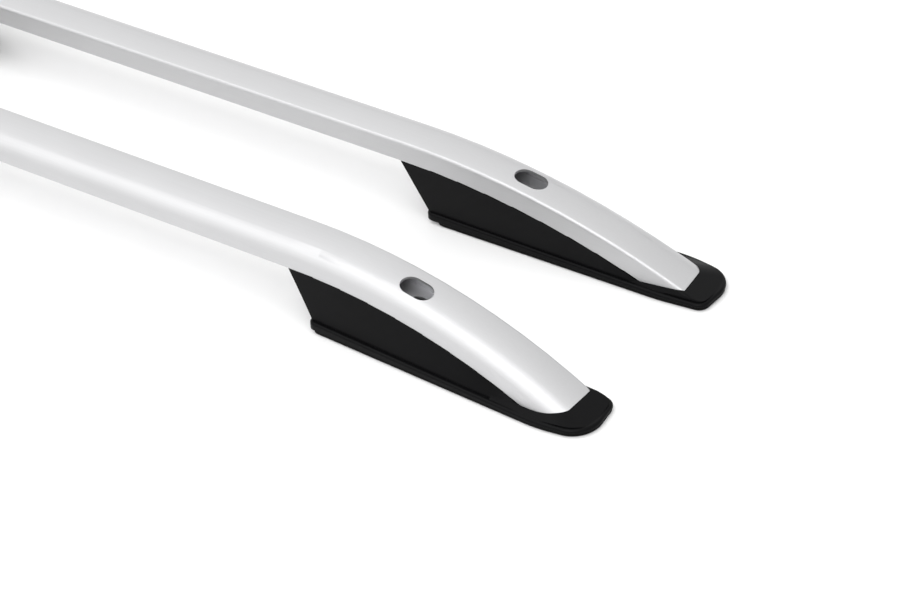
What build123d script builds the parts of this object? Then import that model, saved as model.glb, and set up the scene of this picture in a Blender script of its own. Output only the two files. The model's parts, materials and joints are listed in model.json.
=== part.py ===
"""A pair of car roof side rails: bent aluminium extrusions on moulded feet, with gaskets and steel brackets.

The left rail lies at +Y, the right one is its mirror image, and +X is the front. The floor is Z = 0.
Everything is drawn on the left rail and its front half, then mirrored.
"""
import os
from math import acos, atan2, cos, degrees, radians, sin, tan

from build123d import *

# Driving dimensions, in millimetres and degrees

# The pair as it is laid out
RAIL_GAP = 114.0  # between the inner walls of the two rails
STRAIGHT_RUN = 1024.0  # straight part of a rail, between its two bends

# Rail extrusion
RAIL_TOP = 69.0  # inner top edge above the floor
RAIL_WIDTH = 41.0
RAIL_DEPTH = 18.0
RAIL_WALL = 2.0
TOP_FALL = 2.4  # outward fall of the flat top
OUTER_ROUND = 15.5  # large round along the outer side
INNER_ROUND = 2.5  # tight round along the inner top edge
LOWER_ROUND = 1.2
BEND_RADIUS = 545.0  # of the inner top edge
BEND_LEAN = 8.2  # the ends swing outward as they drop
TIP_DEPTH = 4.0  # of the square cut across the tip, above the level one

# Access slots through the rail above each roof bolt
SLOT_LENGTH = 27.0
SLOT_WIDTH = 18.0
SLOT_ACROSS = 19.5  # slot centre from the rail's inner wall
SLOT_RUN = 106.0  # slot centre from the start of the bend, along the rail
SOCKET_HOLE = 18.0  # in the lower wall, under each slot

# Gaskets
GASKET_HEIGHT = 3.6
GASKET_INSET = 0.7  # behind the edge of the flange
GASKET_SETBACK_INNER = 10.0  # from the heel of the foot
GASKET_SETBACK_OUTER = 1.6
GASKET_BEVEL = 1.2  # along the lower edge
GASKET_BOLT_HOLE = 14.0

# Flange around the base of each foot
FLANGE_HEIGHT = 6.8  # at the heel
FLANGE_NOSE_HEIGHT = 2.8
FLANGE_ROUND = 2.1
FLANGE_BEVEL = 0.5  # along the lower edge
BEAD = 2.7  # left outside the web and the nose
FOOT_LENGTH = 250.0  # end foot, heel to nose
MIDDLE_FOOT_LENGTH = 114.0
NOSE_LENGTH = 42.0  # from the widest place of an end foot to its nose
NOSE_SKEW = 4.0  # inner corner of the nose, behind its front
INNER_LIP_HEEL = 1.2  # flange beyond the rail's inner wall, at the heel
INNER_LIP_KNEE = 6.7  # at the widest place, from the wall at the rail's end
INNER_LIP_NOSE = 2.6
OUTER_LIP_HEEL = 4.0  # flange beyond the rail's outer edge, at the heel
OUTER_LIP_KNEE = 7.1
OUTER_LIP_NOSE = 1.3
HEEL_ROUND = 6.0
KNEE_ROUND = 120.0
NOSE_ROUND_INNER = 9.5
NOSE_ROUND_OUTER = 24.0

# Nose of an end foot, round the end of the rail
COLLAR_TOP = 12.0  # height at which the rail's top edge sinks into the nose
NOSE_REACH = 24.4  # nose beyond that place
NOSE_STEP = 0.5  # from the bead up to the nose
NOSE_SLOPE_INNER = 55.0
NOSE_SLOPE_OUTER = 20.0
NOSE_SHOULDER_INNER = 3.0  # rounds between the slopes
NOSE_SHOULDER_OUTER = 40.0
SEAT_FLOOR = 1.6  # under the end of the rail
SEAT_CLEARANCE = 0.2

# Web between the flange and the rail
WEB_SETBACK = 2.5  # web behind the edge of the flange, at the heel
WEB_INSET = 0.7  # web behind the rail's inner wall, at the top
WEB_OVERHANG = 4.5  # rail beyond the web, on the outer side
HEEL_RAKE = 30.0  # slant of an end web's heel
MIDDLE_RAKE = 50.0  # slant of a middle web's two ends
FLOOR_THICKNESS = 3.5
CAVITY_WALL = 3.0  # at the heel
CAVITY_INNER = 4.0  # from the rail's inner wall
CAVITY_OUTER = 8.0  # from the rail's outer edge
CAVITY_END = 34.0  # solid tip of the web, ahead of the cavity
WEB_SECTIONS = 4  # drawn along the bend
FLOOR_BOLT_HOLE = 10.0

# Brackets
BRACKET_GAUGE = 3.0
BRACKET_WIDTH = 24.0
BRACKET_BASE = 46.0
BRACKET_REACH = 50.0  # bolt to the end of each upper flange
BRACKET_BEND = 5.0
BRACKET_GAP = 0.1  # below the underside of the rail
BOLT_HOLE = 9.0

# Screws
RAIL_SCREW_DIAMETER = 4.8
RAIL_SCREW_HEAD = 8.5
RAIL_SCREW_HEAD_HEIGHT = 2.8
RAIL_SCREW_TIP = 4.0  # past the inside of the rail's wall
FOOT_SCREW_DIAMETER = 4.0
FOOT_SCREW_HEAD = 7.6
FOOT_SCREW_PITCH = 30.0
FOOT_SCREW_END = 1.0  # past the bracket
COUNTERSINK_ANGLE = 90.0
POINT_ANGLE = 60.0  # of a tapping screw's tip
THREAD_CLEARANCE = 0.1
SHANK_CLEARANCE = 0.4

# Places worked out from the sizes above

bend_start = STRAIGHT_RUN / 2
inner_wall = RAIL_GAP / 2
flange_top = GASKET_HEIGHT + FLANGE_HEIGHT
nose_rim = GASKET_HEIGHT + FLANGE_NOSE_HEIGHT + NOSE_STEP
floor_top = GASKET_HEIGHT + FLOOR_THICKNESS
web_base = GASKET_HEIGHT + FLANGE_BEVEL
rail_end = GASKET_HEIGHT + SEAT_FLOOR
lean_cos = cos(radians(BEND_LEAN))
lean_sin = sin(radians(BEND_LEAN))
bend_centre = Vector(bend_start, inner_wall + BEND_RADIUS * lean_sin, RAIL_TOP - BEND_RADIUS * lean_cos)
bend_axis = Axis(bend_centre, (0, lean_cos, lean_sin))


def on_rail(run, across, below):
    """Point of the rail's section, carried along the rail from the start of its front bend."""
    if run <= 0:
        return Vector(bend_start + run, inner_wall + across, RAIL_TOP - below)
    start = Vector(bend_start, inner_wall + across, RAIL_TOP - below)
    return bend_centre + (start - bend_centre).rotate(bend_axis, degrees(run / BEND_RADIUS))


def along_rail(run, direction):
    """Direction fixed to the rail's section, carried along the rail."""
    return Vector(*direction).rotate(bend_axis, degrees(max(run, 0) / BEND_RADIUS))


def run_to_height(height, below):
    """Run at which the inner wall, this far below the top edge, has come down to a height."""
    fall = RAIL_TOP - height - below * lean_sin**2
    turn_cos = (BEND_RADIUS * lean_cos - fall) / (BEND_RADIUS * lean_cos - below * lean_cos**2)
    return BEND_RADIUS * acos(turn_cos)


def underside(run):
    """Plane on the rail's underside, below the slots' centre line and facing down."""
    origin = on_rail(run, SLOT_ACROSS, RAIL_DEPTH)
    return Plane(origin, x_dir=along_rail(run, (1, 0, 0)), z_dir=along_rail(run, (0, 0, -1)))


def tip_plane(clearance):
    """Square cut across the tip of the rail, facing forward."""
    run = run_to_height(rail_end, TIP_DEPTH)
    heading = along_rail(run, (1, 0, 0))
    return Plane(on_rail(run, 0, 0) + heading * clearance, x_dir=along_rail(run, (0, 1, 0)), z_dir=heading)


collar = on_rail(run_to_height(COLLAR_TOP, 0), 0, 0)
nose_x = collar.X + NOSE_REACH
knee_x = nose_x - NOSE_LENGTH
heel_x = nose_x - FOOT_LENGTH
middle_half = MIDDLE_FOOT_LENGTH / 2
inner_heel = inner_wall - INNER_LIP_HEEL
inner_knee = collar.Y - INNER_LIP_KNEE
inner_nose = (nose_x - NOSE_SKEW, collar.Y - INNER_LIP_NOSE)
outer_heel = inner_wall + RAIL_WIDTH + OUTER_LIP_HEEL
outer_knee = collar.Y + RAIL_WIDTH + OUTER_LIP_KNEE
outer_nose = (nose_x, collar.Y + RAIL_WIDTH + OUTER_LIP_NOSE)
middle_run = -bend_start


def rail_section(clearance=0.0):
    """Outer shape of the extrusion, drawn at the middle of the left rail, grown by a clearance."""
    fall = RAIL_WIDTH * tan(radians(TOP_FALL))
    outer_round = min(OUTER_ROUND, RAIL_DEPTH - fall - LOWER_ROUND)
    plane = Plane((0, inner_wall, RAIL_TOP), x_dir=(0, 1, 0), z_dir=(1, 0, 0))
    with BuildSketch(plane) as section:
        Polygon((0, 0), (RAIL_WIDTH, -fall), (RAIL_WIDTH, -RAIL_DEPTH), (0, -RAIL_DEPTH), align=None)
        fillet(section.vertices().sort_by(Axis.X)[-2:].sort_by(Axis.Y)[-1], outer_round)
        fillet(section.vertices().sort_by(Axis.Y)[-1], INNER_ROUND)
        fillet(section.vertices().group_by(Axis.Y)[0], LOWER_ROUND)
        if clearance:
            offset(amount=clearance, mode=Mode.REPLACE)
    return section.sketch


def half_run(section):
    """Sweep a section from the rail's middle along its front half, past its end."""
    past_end = rail_end - RAIL_WALL
    turn = degrees(run_to_height(past_end, 0) / BEND_RADIUS)
    bend_plane = Plane((0, inner_wall, RAIL_TOP), x_dir=(1, 0, 0), z_dir=(0, -lean_cos, -lean_sin))
    with BuildLine(bend_plane) as spine:
        Line((0, 0), (bend_start, 0))
        CenterArc((bend_start, -BEND_RADIUS), BEND_RADIUS, 90, -turn)
    with BuildPart() as run:
        sweep(sections=section, path=spine.wire())
    return run.part


def headroom():
    """Everything above the rail's underside, along its front half."""
    plane = Plane((0, inner_wall, RAIL_TOP), x_dir=(0, 1, 0), z_dir=(1, 0, 0))
    with BuildSketch(plane) as section:
        with Locations((RAIL_WIDTH / 2, -RAIL_DEPTH - SEAT_CLEARANCE)):
            Rectangle(3 * RAIL_WIDTH, RAIL_TOP, align=(Align.CENTER, Align.MIN))
    return half_run(section.sketch)


def make_rail():
    """Hollow extrusion, bent down at both ends, cut off at its tips and milled for bolts and screws."""
    with BuildPart() as rail:
        add(half_run(rail_section()))
        add(half_run(rail_section(-RAIL_WALL)), mode=Mode.SUBTRACT)
        split(bisect_by=tip_plane(0), keep=Keep.BOTTOM)
        for run in (middle_run, SLOT_RUN):
            centre = on_rail(run, SLOT_ACROSS, 0)
            heading = along_rail(run, (1, 0, 0))
            mid_depth = Plane(centre - Vector(0, 0, RAIL_DEPTH / 2))
            with BuildSketch(mid_depth):
                SlotOverall(SLOT_LENGTH, SLOT_WIDTH, rotation=degrees(atan2(heading.Y, heading.X)))
            extrude(amount=RAIL_DEPTH, mode=Mode.SUBTRACT)
            with BuildSketch(mid_depth):
                Circle(SOCKET_HOLE / 2)
            extrude(amount=-RAIL_DEPTH, mode=Mode.SUBTRACT)
            for plane in rail_screw_planes(run):
                with Locations(plane):
                    Hole(RAIL_SCREW_DIAMETER / 2 + THREAD_CLEARANCE, depth=2 * RAIL_WALL)
        mirror(about=Plane.YZ)
        split(bisect_by=Plane.XY.offset(rail_end), keep=Keep.TOP)
    return rail.part


def foot_side(x, heel_y, knee_y):
    """Point on a side of an end foot's flange."""
    return (x, heel_y + (knee_y - heel_y) * (x - heel_x) / (knee_x - heel_x))


def inner_side(x):
    return foot_side(x, inner_heel, inner_knee)


def outer_side(x):
    return foot_side(x, outer_heel, outer_knee)


def end_foot_plan(inset=0.0, inner_setback=0.0, outer_setback=0.0):
    """Outline of an end foot's flange, or of its gasket, whose heel is set back and slants."""
    with BuildSketch() as plan:
        Polygon(
            inner_side(heel_x + inner_setback), (knee_x, inner_knee), inner_nose,
            outer_nose, (knee_x, outer_knee), outer_side(heel_x + outer_setback),
            align=None,
        )
        fillet(plan.vertices().sort_by(Axis.X)[:2], HEEL_ROUND)
        fillet(plan.vertices().sort_by_distance((knee_x, inner_knee))[0], KNEE_ROUND)
        fillet(plan.vertices().sort_by_distance((knee_x, outer_knee))[0], KNEE_ROUND)
        fillet(plan.vertices().sort_by_distance(inner_nose)[0], NOSE_ROUND_INNER)
        fillet(plan.vertices().sort_by_distance(outer_nose)[0], NOSE_ROUND_OUTER)
        if inset:
            offset(amount=-inset, mode=Mode.REPLACE)
    return plan.sketch


def middle_foot_plan(inset=0.0, setback=0.0):
    """Outline of a middle foot's flange, or of its gasket."""
    with BuildSketch() as plan:
        with Locations((0, (inner_heel + outer_heel) / 2)):
            RectangleRounded(2 * (middle_half - setback), outer_heel - inner_heel, HEEL_ROUND)
        if inset:
            offset(amount=-inset, mode=Mode.REPLACE)
    return plan.sketch


def make_flange(plan, front_x, front_height):
    """Base of a foot with a bead all round, which may thin out towards its front."""
    fall = (FLANGE_HEIGHT - front_height) / (front_x - heel_x)
    top = Plane((heel_x, 0, flange_top), x_dir=(0, 1, 0), z_dir=(fall, 0, 1))
    with BuildPart() as flange:
        with BuildSketch(Plane.XY.offset(GASKET_HEIGHT)):
            add(plan)
        extrude(amount=2 * FLANGE_HEIGHT)
        split(bisect_by=top, keep=Keep.BOTTOM)
        fillet(flange.faces().sort_by(Axis.Z)[-1].edges(), FLANGE_ROUND)
        chamfer(flange.faces().sort_by(Axis.Z)[0].edges(), FLANGE_BEVEL)
    return flange.part


def make_nose():
    """Raised nose that the rail sinks into: slopes to the front and both sides, with round shoulders."""
    rim_x = nose_x - BEAD
    front_slope = (COLLAR_TOP - nose_rim) / (rim_x - collar.X)
    top_slope = tan(radians(TOP_FALL))
    inner_slope = tan(radians(NOSE_SLOPE_INNER))
    outer_slope = tan(radians(NOSE_SLOPE_OUTER))
    inner_rim = inner_knee + BEAD
    outer_rim = outer_knee - BEAD
    front = Plane((rim_x, inner_rim, nose_rim), z_dir=(front_slope, top_slope, 1))
    inner = Plane((knee_x, inner_rim, nose_rim), z_dir=(0, -inner_slope, 1))
    outer = Plane((knee_x, outer_rim, nose_rim), z_dir=(0, outer_slope, 1))
    shoulder_x = (rim_x + knee_x) / 2
    rise = front_slope * (rim_x - shoulder_x)
    inner_reach = rise / (inner_slope + top_slope)
    outer_reach = (outer_slope * (outer_rim - inner_rim) - rise) / (outer_slope - top_slope)
    inner_shoulder = (shoulder_x, inner_rim + inner_reach, nose_rim + inner_slope * inner_reach)
    outer_shoulder = (shoulder_x, inner_rim + outer_reach, nose_rim + rise - top_slope * outer_reach)
    with BuildPart() as nose:
        with BuildSketch(Plane.XY.offset(web_base)):
            with Locations((nose_x, (inner_rim + outer_rim) / 2)):
                Rectangle(4 * NOSE_LENGTH, 2 * (outer_rim - inner_rim))
        extrude(amount=2 * COLLAR_TOP)
        split(bisect_by=front, keep=Keep.BOTTOM)
        split(bisect_by=outer, keep=Keep.BOTTOM)
        fillet(nose.edges().sort_by_distance(outer_shoulder)[0], NOSE_SHOULDER_OUTER)
        split(bisect_by=inner, keep=Keep.BOTTOM)
        fillet(nose.edges().sort_by_distance(inner_shoulder)[0], NOSE_SHOULDER_INNER)
        with BuildSketch(Plane.XY.offset(web_base)):
            add(end_foot_plan(BEAD))
        extrude(amount=2 * COLLAR_TOP, mode=Mode.INTERSECT)
    return nose.part


def web_section(run, flange_inner, flange_outer):
    """Cross-section of the web: from inside the flange's bead up to the rail, a little above its underside."""
    inner = on_rail(run, 0, RAIL_DEPTH)
    outer = on_rail(run, RAIL_WIDTH, RAIL_DEPTH)
    top = max(inner.Z, web_base) + RAIL_WALL
    with BuildSketch(Plane((inner.X, 0, 0), x_dir=(0, 1, 0), z_dir=(1, 0, 0))) as section:
        Polygon(
            (flange_inner + BEAD, web_base), (flange_outer - BEAD, web_base),
            (outer.Y - WEB_OVERHANG, top), (inner.Y + WEB_INSET, top),
            align=None,
        )
    return section.sketch


def end_web():
    """Web of an end foot, which leans more and more towards the nose, cut off by a slanted heel."""
    heel = heel_x + WEB_SETBACK
    first_run = heel - bend_start - RAIL_TOP * tan(radians(HEEL_RAKE))
    last_run = run_to_height(web_base, RAIL_DEPTH)
    bend_run = max(first_run, 0)
    runs = [bend_run + (last_run - bend_run) * step / WEB_SECTIONS for step in range(WEB_SECTIONS + 1)]
    if first_run < 0:
        runs.insert(0, first_run)
    with BuildPart() as web:
        for run in runs:
            x = on_rail(run, 0, RAIL_DEPTH).X
            add(web_section(run, inner_side(x)[1], outer_side(x)[1]))
        loft()
        split(bisect_by=heel_plane(heel, -HEEL_RAKE), keep=Keep.TOP)
    return web.part


def middle_web():
    """Web of a middle foot, with two slanted ends."""
    end = middle_half - WEB_SETBACK
    reach = end + RAIL_TOP * tan(radians(MIDDLE_RAKE))
    with BuildPart() as web:
        extrude(web_section(reach - bend_start, inner_heel, outer_heel), amount=2 * reach, dir=(-1, 0, 0))
        split(bisect_by=heel_plane(-end, -MIDDLE_RAKE), keep=Keep.TOP)
        split(bisect_by=heel_plane(end, MIDDLE_RAKE), keep=Keep.BOTTOM)
    return web.part


def heel_plane(x, rake):
    """Slanted plane through a heel at the top of the flange, facing forward."""
    return Plane((x, 0, flange_top), x_dir=(0, 1, 0), z_dir=(1, 0, -tan(radians(rake))))


def make_cavity(heel, rake, front_run, front_plane):
    """Room for the bracket inside a web, following the rail at a distance from both of its edges."""
    last = min(front_run, 0)
    inner = (0, CAVITY_INNER)
    outer = (RAIL_WIDTH, -CAVITY_OUTER)

    def side(run, across, inset):
        point = on_rail(run, across, RAIL_DEPTH)
        return (point.X, point.Y + inset)

    first_x = min(heel - RAIL_TOP * tan(radians(rake)), side(last, *inner)[0] - RAIL_WIDTH)
    with BuildPart() as cavity:
        with BuildSketch(Plane.XY.offset(floor_top)):
            with BuildLine():
                for edge in (inner, outer):
                    Line((first_x, side(0, *edge)[1]), side(last, *edge))
                    if front_run > 0:
                        ThreePointArc(side(0, *edge), side(front_run / 2, *edge), side(front_run, *edge))
                Line((first_x, side(0, *inner)[1]), (first_x, side(0, *outer)[1]))
                Line(side(front_run, *inner), side(front_run, *outer))
            make_face()
        extrude(amount=RAIL_TOP - floor_top)
        split(bisect_by=heel_plane(heel + CAVITY_WALL, -rake), keep=Keep.TOP)
        if front_plane:
            split(bisect_by=front_plane, keep=Keep.BOTTOM)
    return cavity.part


def make_foot(body, cavity, rail_envelope, run):
    """Foot moulding: its body, hollowed out, with a seat for the rail and holes for the bolt and screws."""
    bolt = on_rail(run, SLOT_ACROSS, 0)
    with BuildPart() as foot:
        add(body)
        add(cavity, mode=Mode.SUBTRACT)
        add(rail_envelope, mode=Mode.SUBTRACT)
        with Locations((bolt.X, bolt.Y, floor_top)):
            Hole(FLOOR_BOLT_HOLE / 2)
        with Locations(*foot_screw_planes(run)):
            CounterSinkHole(
                FOOT_SCREW_DIAMETER / 2 + SHANK_CLEARANCE / 2,
                FOOT_SCREW_HEAD / 2 + SHANK_CLEARANCE / 2,
                depth=FLOOR_THICKNESS,
                counter_sink_angle=COUNTERSINK_ANGLE,
            )
    return foot.part


def make_gasket(plan, run):
    """Rubber pad under a foot, with a bevelled lower edge and a hole for the roof bolt."""
    bolt = on_rail(run, SLOT_ACROSS, 0)
    with BuildPart() as gasket:
        add(plan)
        extrude(amount=GASKET_HEIGHT)
        chamfer(gasket.faces().sort_by(Axis.Z)[0].edges(), GASKET_BEVEL)
        with Locations((bolt.X, bolt.Y, GASKET_HEIGHT)):
            Hole(GASKET_BOLT_HOLE / 2)
    return gasket.part


def rail_screw_planes(run):
    """Planes on the rail's underside where the bracket's two screws enter, facing down."""
    offset_run = (BRACKET_BASE / 2 + BRACKET_REACH) / 2
    return [underside(run - offset_run), underside(run + offset_run)]


def foot_screw_planes(run):
    """Planes under the foot's floor where its two screws enter, facing down."""
    bolt = on_rail(run, SLOT_ACROSS, 0)
    half = FOOT_SCREW_PITCH / 2
    return [Plane((bolt.X + x, bolt.Y, GASKET_HEIGHT), z_dir=(0, 0, -1)) for x in (-half, half)]


def make_bracket(run):
    """Bent steel strip: base on the foot's floor, two legs and two flanges against the rail's underside."""
    bolt = on_rail(run, SLOT_ACROSS, 0)
    middle = RAIL_DEPTH + BRACKET_GAP + BRACKET_GAUGE / 2
    half = BRACKET_BASE / 2
    base = floor_top + BRACKET_GAUGE / 2
    corners = [on_rail(run + r, SLOT_ACROSS, middle) for r in (-BRACKET_REACH, -half, half, BRACKET_REACH)]
    points = [(corner.X, corner.Z) for corner in corners]
    points[2:2] = [(bolt.X - half, base), (bolt.X + half, base)]
    with BuildPart() as bracket:
        with BuildSketch(Plane.XZ.offset(-bolt.Y)):
            with BuildLine() as strip:
                FilletPolyline(*points, radius=BRACKET_BEND)
            trace(strip.line, BRACKET_GAUGE)
        extrude(amount=BRACKET_WIDTH / 2, both=True)
        with Locations((bolt.X, bolt.Y, floor_top + BRACKET_GAUGE)):
            Hole(BOLT_HOLE / 2)
        for plane in foot_screw_planes(run):
            with Locations(plane.offset(-FLOOR_THICKNESS)):
                Hole(FOOT_SCREW_DIAMETER / 2 + THREAD_CLEARANCE, depth=BRACKET_GAUGE)
        for plane in rail_screw_planes(run):
            with Locations(plane.offset(2 * BRACKET_GAUGE)):
                Hole(RAIL_SCREW_DIAMETER / 2 + SHANK_CLEARANCE, depth=2 * BRACKET_GAUGE)
    return bracket.part


def make_rail_screws(run):
    """Two pan-head tapping screws through the bracket's flanges into the rail's lower wall."""
    seat = BRACKET_GAP + BRACKET_GAUGE + 2 * BRACKET_GAP
    radius = RAIL_SCREW_DIAMETER / 2
    end = -RAIL_WALL - RAIL_SCREW_TIP
    with BuildPart() as screws:
        for plane in rail_screw_planes(run):
            with BuildSketch(plane.offset(seat)):
                Circle(RAIL_SCREW_HEAD / 2)
            extrude(amount=RAIL_SCREW_HEAD_HEIGHT)
            with BuildSketch(plane.offset(seat)):
                Circle(radius)
            extrude(amount=end + radius - seat)
            with BuildSketch(plane.offset(end + radius)):
                Circle(radius)
            extrude(amount=-radius, taper=POINT_ANGLE / 2)
    return screws.part


def make_foot_screws(run):
    """Two countersunk screws from below the foot's floor into the bracket."""
    radius = FOOT_SCREW_DIAMETER / 2
    head = FOOT_SCREW_HEAD / 2
    slope = COUNTERSINK_ANGLE / 2
    length = FLOOR_THICKNESS + BRACKET_GAUGE + FOOT_SCREW_END
    with BuildPart() as screws:
        for plane in foot_screw_planes(run):
            with BuildSketch(plane):
                Circle(head)
            extrude(amount=-(head - radius) / tan(radians(slope)), taper=slope)
            with BuildSketch(plane):
                Circle(radius)
            extrude(amount=-length)
    return screws.part


# The left rail's pieces: the rail, then those of its middle and front feet

above_rail = headroom()
seat_level = Plane.XY.offset(rail_end - SEAT_CLEARANCE)
rail_envelope = split(half_run(rail_section(SEAT_CLEARANCE)), bisect_by=seat_level, keep=Keep.TOP)
rail_envelope = split(rail_envelope, bisect_by=tip_plane(SEAT_CLEARANCE), keep=Keep.BOTTOM)

both_halves = above_rail + mirror(above_rail, about=Plane.YZ)
both_envelopes = rail_envelope + mirror(rail_envelope, about=Plane.YZ)

end_body = make_flange(end_foot_plan(), nose_x, FLANGE_NOSE_HEIGHT) + make_nose() + (end_web() - above_rail)
cavity_run = run_to_height(flange_top, RAIL_DEPTH) - CAVITY_END
end_cavity = make_cavity(heel_x + WEB_SETBACK, HEEL_RAKE, cavity_run, None)

middle_end = middle_half - WEB_SETBACK
middle_body = make_flange(middle_foot_plan(), middle_half, FLANGE_HEIGHT) + (middle_web() - both_halves)
middle_front = heel_plane(middle_end - CAVITY_WALL, MIDDLE_RAKE)
middle_reach = middle_end + RAIL_TOP * tan(radians(MIDDLE_RAKE))
middle_cavity = make_cavity(-middle_end, MIDDLE_RAKE, middle_reach - bend_start, middle_front)

end_gasket_plan = end_foot_plan(GASKET_INSET, GASKET_SETBACK_INNER, GASKET_SETBACK_OUTER)

left_pieces = {
    "rail": make_rail(),
    "middle_foot": make_foot(middle_body, middle_cavity, both_envelopes, middle_run),
    "front_foot": make_foot(end_body, end_cavity, rail_envelope, SLOT_RUN),
    "middle_gasket": make_gasket(middle_foot_plan(GASKET_INSET, GASKET_SETBACK_INNER), middle_run),
    "front_gasket": make_gasket(end_gasket_plan, SLOT_RUN),
}
for place, run in (("middle", middle_run), ("front", SLOT_RUN)):
    left_pieces[f"{place}_bracket"] = make_bracket(run)
    left_pieces[f"{place}_rail_screws"] = make_rail_screws(run)
    left_pieces[f"{place}_foot_screws"] = make_foot_screws(run)

# The rear pieces mirror the front ones
for name in [name for name in left_pieces if name.startswith("front_")]:
    with BuildPart() as rear_piece:
        mirror(left_pieces[name], about=Plane.YZ)
    left_pieces[name.replace("front_", "rear_")] = rear_piece.part

# The right rail's pieces mirror the left rail's, and every piece is written out
os.makedirs("parts", exist_ok=True)
for name, left_piece in left_pieces.items():
    with BuildPart() as right_piece:
        mirror(left_piece, about=Plane.XZ)
    for side, piece in (("left", left_piece), ("right", right_piece.part)):
        piece.label = f"{side}_{name}"
        export_step(piece, f"parts/{side}_{name}.step")
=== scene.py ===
"""Roof side rails, left and right, on a pale floor: finishes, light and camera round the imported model."""
import json
import math

import bpy
from mathutils import Matrix, Vector

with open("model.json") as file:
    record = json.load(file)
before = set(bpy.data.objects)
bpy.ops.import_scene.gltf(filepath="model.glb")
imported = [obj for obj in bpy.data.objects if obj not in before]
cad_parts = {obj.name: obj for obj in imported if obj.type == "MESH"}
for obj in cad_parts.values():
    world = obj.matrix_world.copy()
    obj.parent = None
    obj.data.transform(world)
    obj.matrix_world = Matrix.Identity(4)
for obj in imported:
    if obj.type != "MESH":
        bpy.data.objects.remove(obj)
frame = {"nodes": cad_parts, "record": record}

MM = 0.001
NOISE_LOW, NOISE_HIGH = 0.3, 0.7  # the range that noise mostly stays in
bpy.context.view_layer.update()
scene = bpy.context.scene


def linear(colour):
    """sRGB hex colour to linear light, with alpha 1."""
    parts = [int(colour[i:i + 2], 16) / 255 for i in (1, 3, 5)]
    return [p / 12.92 if p <= 0.04045 else ((p + 0.055) / 1.055) ** 2.4 for p in parts] + [1.0]


def add(tree, kind, inputs=None, **settings):
    """Add a node; inputs are numbers, colours or the output sockets to link from."""
    made = tree.nodes.new(kind)
    for name, value in settings.items():
        setattr(made, name, value)
    for name, value in (inputs or {}).items():
        if isinstance(value, bpy.types.NodeSocket):
            tree.links.new(value, made.inputs[name])
        else:
            made.inputs[name].default_value = value
    return made


def per_metre(size_mm):
    """Noise scale at which one blob of the pattern is about this wide."""
    return 1 / (size_mm * MM)


def start_material(name):
    material = bpy.data.materials.new(name)
    material.use_nodes = True
    material.node_tree.nodes.clear()
    return material, material.node_tree


def finish_material(tree, shader):
    add(tree, "ShaderNodeOutputMaterial", {"Surface": shader.outputs[0]})


# The rail's bend and section, in millimetres, for a finish that follows them
BEND_START = 512.0  # from the middle of the rail
BEND_RADIUS = 545.0  # on the inner edge of the top
BEND_LEAN = math.radians(8.2)  # the ends swing outward as they drop
INNER_EDGE = 57.0  # inner edge of the top, from the middle between the rails
RAIL_TOP = 69.0
EDGE_ROUND = 2.6  # rounding of the inner edge
TOP_WIDTH = 24.0  # from there to the outer round
CROWN = math.radians(11.0)  # slope at either side of the top
HOLLOW_ACROSS = (1.0, 38.5)  # the hollow, as far as the slots show it
HOLLOW_BELOW = (2.6, 17.2)
HOLLOW_FALL = 0.7  # how steeply its roof drops under the outer round


def rail_place(tree, place):
    """Distance across the rail's top from its inner edge and distance below the top, the bends unrolled."""
    lean = Vector((0, math.cos(BEND_LEAN), math.sin(BEND_LEAN)))
    centre = Vector((BEND_START, INNER_EDGE + BEND_RADIUS * lean.z, RAIL_TOP - BEND_RADIUS * lean.y)) * MM
    spot = add(tree, "ShaderNodeVectorMath", {0: place}, operation="ABSOLUTE").outputs[0]
    spot = add(tree, "ShaderNodeVectorMath", {0: spot, 1: centre}, operation="SUBTRACT").outputs[0]
    # Before the bend the rail is straight, so only its run past the bend's start counts
    spot = add(tree, "ShaderNodeVectorMath", {0: spot, 1: (0, -1, -1)}, operation="MAXIMUM").outputs[0]
    aside = add(tree, "ShaderNodeVectorMath", {0: spot, 1: lean}, operation="DOT_PRODUCT").outputs["Value"]
    arm = add(tree, "ShaderNodeVectorMath", {0: spot, 1: lean}, operation="CROSS_PRODUCT").outputs[0]
    arm = add(tree, "ShaderNodeVectorMath", {0: arm}, operation="LENGTH").outputs["Value"]
    drop = add(tree, "ShaderNodeMath", {0: BEND_RADIUS * MM, 1: arm}, operation="SUBTRACT").outputs[0]
    across = add(tree, "ShaderNodeMath", {0: drop, 1: lean.z}, operation="MULTIPLY").outputs[0]
    across = add(tree, "ShaderNodeMath", {0: aside, 1: lean.y, 2: across}, operation="MULTIPLY_ADD")
    below = add(tree, "ShaderNodeMath", {0: drop, 1: lean.y}, operation="MULTIPLY").outputs[0]
    below = add(tree, "ShaderNodeMath", {0: aside, 1: -lean.z, 2: below}, operation="MULTIPLY_ADD")
    return across.outputs[0], below.outputs[0]


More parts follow.
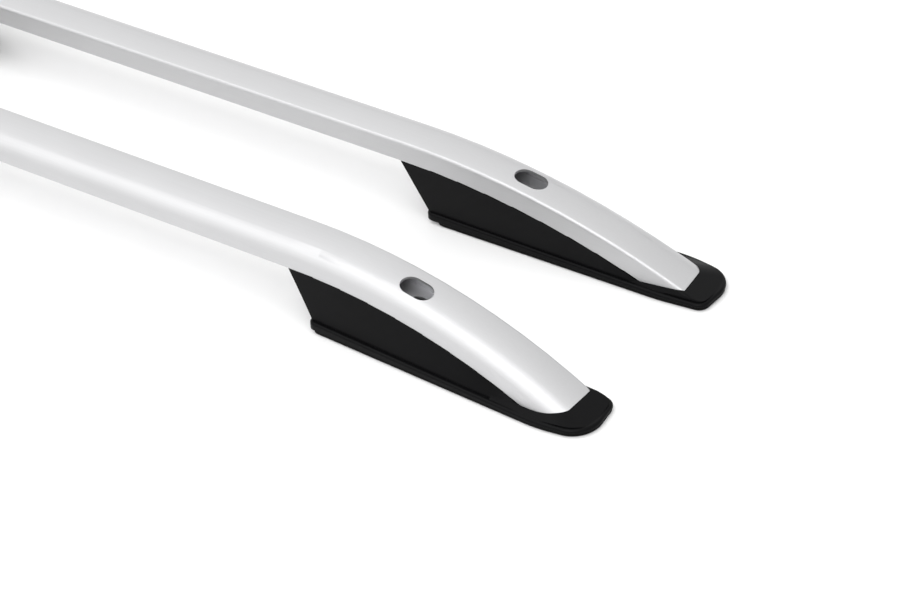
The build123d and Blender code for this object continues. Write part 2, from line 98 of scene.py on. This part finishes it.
def satin_anodised_aluminium():
    """Extruded, etched and anodised: an even silver grey with a soft, broad shine.

    The etch leaves a fine grain, and the die leaves very faint lines along the extrusion. The light runs
    across the top as if it were a little crowned, without a border at the outer round.
    """
    material, tree = start_material("satin_anodised_aluminium")
    place = add(tree, "ShaderNodeTexCoord").outputs["Object"]
    along = add(tree, "ShaderNodeMapping", {"Vector": place, "Scale": (0.012, 1, 1)})
    die_lines = add(tree, "ShaderNodeTexNoise", {
        "Vector": along.outputs[0], "Scale": per_metre(1.1), "Detail": 3.0, "Roughness": 0.6,
    })
    # The real grain is under 0.1 mm; it is drawn at 0.9 mm so that it shows
    grain = add(tree, "ShaderNodeTexNoise", {"Vector": place, "Scale": per_metre(0.9), "Detail": 2.0})
    clouds = add(tree, "ShaderNodeTexNoise", {"Vector": place, "Scale": per_metre(60), "Detail": 2.0})
    tone = add(tree, "ShaderNodeMix", {
        "Factor": clouds.outputs["Fac"], "A": linear("#c4c4c5"), "B": linear("#c9c9ca"),
    }, data_type="RGBA")
    shine = add(tree, "ShaderNodeMapRange", {
        "Value": die_lines.outputs["Fac"], "From Min": NOISE_LOW, "From Max": NOISE_HIGH,
        "To Min": 0.52, "To Max": 0.58,
    })
    from_edge, below = rail_place(tree, place)
    across = add(tree, "ShaderNodeMapRange", {
        "Value": from_edge, "From Min": EDGE_ROUND * MM, "From Max": (EDGE_ROUND + TOP_WIDTH) * MM,
    }, clamp=False).outputs[0]
    # A parabola across the top, then straight on at its last slope
    top = add(tree, "ShaderNodeMath", {0: across, 1: 1.0}, operation="MINIMUM").outputs[0]
    past_top = add(tree, "ShaderNodeMath", {0: across, 1: 1.0}, operation="MAXIMUM").outputs[0]
    arch = add(tree, "ShaderNodeMath", {0: top, 1: top}, operation="MULTIPLY").outputs[0]
    arch = add(tree, "ShaderNodeMath", {0: top, 1: arch}, operation="SUBTRACT").outputs[0]
    arch = add(tree, "ShaderNodeMath", {0: arch, 1: past_top}, operation="SUBTRACT").outputs[0]
    crown = add(tree, "ShaderNodeBump", {
        "Height": arch, "Strength": 1.0, "Distance": TOP_WIDTH * math.tan(CROWN) * MM,
    })
    relief = add(tree, "ShaderNodeBump", {
        "Height": grain.outputs["Fac"], "Strength": 0.05, "Distance": 0.05 * MM, "Normal": crown.outputs[0],
    })
    # Inside the hollow the metal is given a brighter tone: painted light, standing in for the light that
    # comes in through the slots
    roof = add(tree, "ShaderNodeMath", {
        0: past_top, 1: HOLLOW_FALL * TOP_WIDTH * MM,
        2: (HOLLOW_BELOW[0] - HOLLOW_FALL * TOP_WIDTH) * MM,
    }, operation="MULTIPLY_ADD").outputs[0]
    painted_light_inside = add(tree, "ShaderNodeMath", {0: below, 1: roof}, operation="GREATER_THAN").outputs[0]
    for distance, limit, side in (
        (below, HOLLOW_BELOW[1], "LESS_THAN"),
        (from_edge, HOLLOW_ACROSS[0], "GREATER_THAN"),
        (from_edge, HOLLOW_ACROSS[1], "LESS_THAN"),
    ):
        within = add(tree, "ShaderNodeMath", {0: distance, 1: limit * MM}, operation=side).outputs[0]
        painted_light_inside = add(tree, "ShaderNodeMath", {0: painted_light_inside, 1: within}, operation="MULTIPLY").outputs[0]
    # Painted light: the brighter tone inside the hollow stands in for the light let in by the slots
    tone = add(tree, "ShaderNodeMix", {
        "Factor": painted_light_inside, "A": tone.outputs["Result"], "B": linear("#dedee0"),
    }, data_type="RGBA")
    shader = add(tree, "ShaderNodeBsdfPrincipled", {
        "Base Color": tone.outputs["Result"], "Metallic": 1.0, "Roughness": shine.outputs[0],
        "Normal": relief.outputs[0],
    })
    finish_material(tree, shader)
    return material


def moulded_black_abs():
    """Injection moulded from black ABS in an eroded mould: a fine even grain and a dull satin shine."""
    material, tree = start_material("moulded_black_abs")
    place = add(tree, "ShaderNodeTexCoord").outputs["Object"]
    # The real grain is about 0.15 mm; it is drawn at 0.7 mm so that it shows
    grain = add(tree, "ShaderNodeTexNoise", {"Vector": place, "Scale": per_metre(0.7), "Detail": 2.0})
    clouds = add(tree, "ShaderNodeTexNoise", {"Vector": place, "Scale": per_metre(35), "Detail": 3.0})
    tone = add(tree, "ShaderNodeMix", {
        "Factor": clouds.outputs["Fac"], "A": linear("#060607"), "B": linear("#0a0a0b"),
    }, data_type="RGBA")
    shine = add(tree, "ShaderNodeMapRange", {
        "Value": grain.outputs["Fac"], "From Min": NOISE_LOW, "From Max": NOISE_HIGH,
        "To Min": 0.34, "To Max": 0.42,
    })
    relief = add(tree, "ShaderNodeBump", {
        "Height": grain.outputs["Fac"], "Strength": 0.12, "Distance": 0.06 * MM,
    })
    shader = add(tree, "ShaderNodeBsdfPrincipled", {
        "Base Color": tone.outputs["Result"], "Roughness": shine.outputs[0], "IOR": 1.53,
        "Specular IOR Level": 0.075, "Normal": relief.outputs[0],
    })
    finish_material(tree, shader)
    return material


def moulded_black_rubber():
    """Compression-moulded EPDM: matt black with a dry, slightly dusty surface."""
    material, tree = start_material("moulded_black_rubber")
    place = add(tree, "ShaderNodeTexCoord").outputs["Object"]
    bloom = add(tree, "ShaderNodeTexNoise", {"Vector": place, "Scale": per_metre(9), "Detail": 4.0})
    pores = add(tree, "ShaderNodeTexNoise", {"Vector": place, "Scale": per_metre(0.8), "Detail": 2.0})
    tone = add(tree, "ShaderNodeMix", {
        "Factor": bloom.outputs["Fac"], "A": linear("#0a0a0a"), "B": linear("#0f0f0f"),
    }, data_type="RGBA")
    shine = add(tree, "ShaderNodeMapRange", {
        "Value": bloom.outputs["Fac"], "From Min": NOISE_LOW, "From Max": NOISE_HIGH,
        "To Min": 0.6, "To Max": 0.72,
    })
    relief = add(tree, "ShaderNodeBump", {
        "Height": pores.outputs["Fac"], "Strength": 0.2, "Distance": 0.08 * MM,
    })
    shader = add(tree, "ShaderNodeBsdfPrincipled", {
        "Base Color": tone.outputs["Result"], "Roughness": shine.outputs[0], "IOR": 1.5,
        "Specular IOR Level": 0.075, "Normal": relief.outputs[0],
    })
    finish_material(tree, shader)
    return material


def zinc_plated_steel():
    """Pressed steel, bright zinc plated: a bluish silver with cloudy patches and faint rolling lines."""
    material, tree = start_material("zinc_plated_steel")
    place = add(tree, "ShaderNodeTexCoord").outputs["Object"]
    clouds = add(tree, "ShaderNodeTexNoise", {"Vector": place, "Scale": per_metre(7), "Detail": 4.0})
    rolled = add(tree, "ShaderNodeMapping", {"Vector": place, "Scale": (0.05, 1, 1)})
    lines = add(tree, "ShaderNodeTexNoise", {
        "Vector": rolled.outputs[0], "Scale": per_metre(0.6), "Detail": 2.0,
    })
    tone = add(tree, "ShaderNodeMix", {
        "Factor": clouds.outputs["Fac"], "A": linear("#b4b8bd"), "B": linear("#c9ccd0"),
    }, data_type="RGBA")
    shine = add(tree, "ShaderNodeMapRange", {
        "Value": clouds.outputs["Fac"], "From Min": NOISE_LOW, "From Max": NOISE_HIGH,
        "To Min": 0.26, "To Max": 0.42,
    })
    relief = add(tree, "ShaderNodeBump", {
        "Height": lines.outputs["Fac"], "Strength": 0.1, "Distance": 0.03 * MM,
    })
    shader = add(tree, "ShaderNodeBsdfPrincipled", {
        "Base Color": tone.outputs["Result"], "Metallic": 1.0, "Roughness": shine.outputs[0],
        "Normal": relief.outputs[0],
    })
    finish_material(tree, shader)
    return material


finishes = {
    "satin_aluminium": satin_anodised_aluminium(),
    "black_plastic": moulded_black_abs(),
    "black_rubber": moulded_black_rubber(),
    "zinc_steel": zinc_plated_steel(),
}
for subpart in frame["record"]["subparts"]:
    slots = frame["nodes"][subpart["node"]].data.materials
    slots.clear()
    slots.append(finishes[subpart["material_slot"]])


# Floor: pale and matt, lifted to white for the camera and for reflections, still taking the shadows
FLOOR_LIFT = 0.04
FLOOR_SIZE = 14.0


def pale_floor():
    material, tree = start_material("pale_studio_floor")
    paths = add(tree, "ShaderNodeLightPath").outputs
    seen = add(tree, "ShaderNodeMath", {
        0: paths["Is Camera Ray"], 1: paths["Is Glossy Ray"],
    }, operation="MAXIMUM")
    seen = add(tree, "ShaderNodeMath", {
        0: seen.outputs[0], 1: paths["Is Transmission Ray"],
    }, operation="MAXIMUM")
    lift = add(tree, "ShaderNodeMath", {0: seen.outputs[0], 1: FLOOR_LIFT}, operation="MULTIPLY")
    glow = add(tree, "ShaderNodeEmission", {"Color": (1, 1, 1, 1), "Strength": lift.outputs[0]})
    matt = add(tree, "ShaderNodeBsdfDiffuse", {"Color": linear("#ededed")})
    finish_material(tree, add(tree, "ShaderNodeAddShader", {0: matt.outputs[0], 1: glow.outputs[0]}))
    return material


bpy.ops.mesh.primitive_plane_add(size=FLOOR_SIZE, location=(0, 0, 0))
floor = bpy.context.object
floor.name = "studio_floor"
floor.data.materials.append(pale_floor())


# World: a white room, brightest high up at the back left and dimmer towards the right
ROOM_BRIGHT_SIDE = (-0.8, 0.35, 0.5)
ROOM_DIM = 0.82
ROOM_BRIGHT = 1.34

world = bpy.data.worlds.new("white_room")
scene.world = world
world.use_nodes = True
world.node_tree.nodes.clear()
sky = world.node_tree
paths = add(sky, "ShaderNodeLightPath").outputs
towards = add(sky, "ShaderNodeVectorMath", {
    0: add(sky, "ShaderNodeTexCoord").outputs["Generated"], 1: ROOM_BRIGHT_SIDE,
}, operation="DOT_PRODUCT")
level_of_light = add(sky, "ShaderNodeMapRange", {
    "Value": towards.outputs["Value"], "From Min": 0.0, "From Max": 1.0,
    "To Min": ROOM_DIM, "To Max": ROOM_BRIGHT,
})
room = add(sky, "ShaderNodeBackground", {"Color": (1, 1, 1, 1), "Strength": level_of_light.outputs[0]})
white = add(sky, "ShaderNodeBackground", {"Color": (1, 1, 1, 1), "Strength": 1.0})
add(sky, "ShaderNodeOutputWorld", {"Surface": add(sky, "ShaderNodeMixShader", {
    0: paths["Is Camera Ray"], 1: room.outputs[0], 2: white.outputs[0],
}).outputs[0]})


def softbox(name, place, aim, width, height, power):
    """A rectangular lamp that looks from its place to its aim, in metres and watts."""
    lamp = bpy.data.lights.new(name, "AREA")
    lamp.shape = "RECTANGLE"
    lamp.size = width
    lamp.size_y = height
    lamp.energy = power
    lamp_object = bpy.data.objects.new(name, lamp)
    lamp_object.location = place
    lamp_object.rotation_euler = (Vector(aim) - Vector(place)).to_track_quat("-Z", "Y").to_euler()
    scene.collection.objects.link(lamp_object)


softbox("overhead_softbox", (0.3, -0.8, 2.1), (0.3, -0.8, 0.0), 3.4, 1.6, 22)
softbox("front_softbox", (1.2, -1.9, 1.7), (0.7, -0.1, 0.05), 1.4, 1.4, 20)
softbox("left_softbox", (-0.9, -1.8, 1.5), (0.2, -0.1, 0.05), 1.4, 1.2, 4)


# Camera, at the place and turn that the photograph gives
CAMERA_PLACE = Vector((1.696674, -1.526373, 1.446206))
CAMERA_RISE = math.radians(37.92547537)
CAMERA_TURN = math.radians(35.73945023)
CAMERA_ROLL = math.radians(-3.79253222)
FOCAL_PIXELS = 3122.788
IMAGE_WIDTH = 920
SENSOR = 36.0

ahead = Vector((
    -math.sin(CAMERA_TURN) * math.cos(CAMERA_RISE),
    math.cos(CAMERA_TURN) * math.cos(CAMERA_RISE),
    -math.sin(CAMERA_RISE),
))
level = Vector((math.cos(CAMERA_TURN), math.sin(CAMERA_TURN), 0))
upright = level.cross(ahead)
right = math.cos(CAMERA_ROLL) * level + math.sin(CAMERA_ROLL) * upright
up = math.cos(CAMERA_ROLL) * upright - math.sin(CAMERA_ROLL) * level
camera_data = bpy.data.cameras.new("photo_camera")
camera_data.sensor_fit = "HORIZONTAL"
camera_data.sensor_width = SENSOR
camera_data.lens = FOCAL_PIXELS / IMAGE_WIDTH * SENSOR
camera = bpy.data.objects.new("photo_camera", camera_data)
turn = Matrix((right, up, -ahead)).transposed()
camera.matrix_world = Matrix.Translation(CAMERA_PLACE) @ turn.to_4x4()
scene.collection.objects.link(camera)
scene.camera = camera

scene.view_settings.view_transform = "Standard"
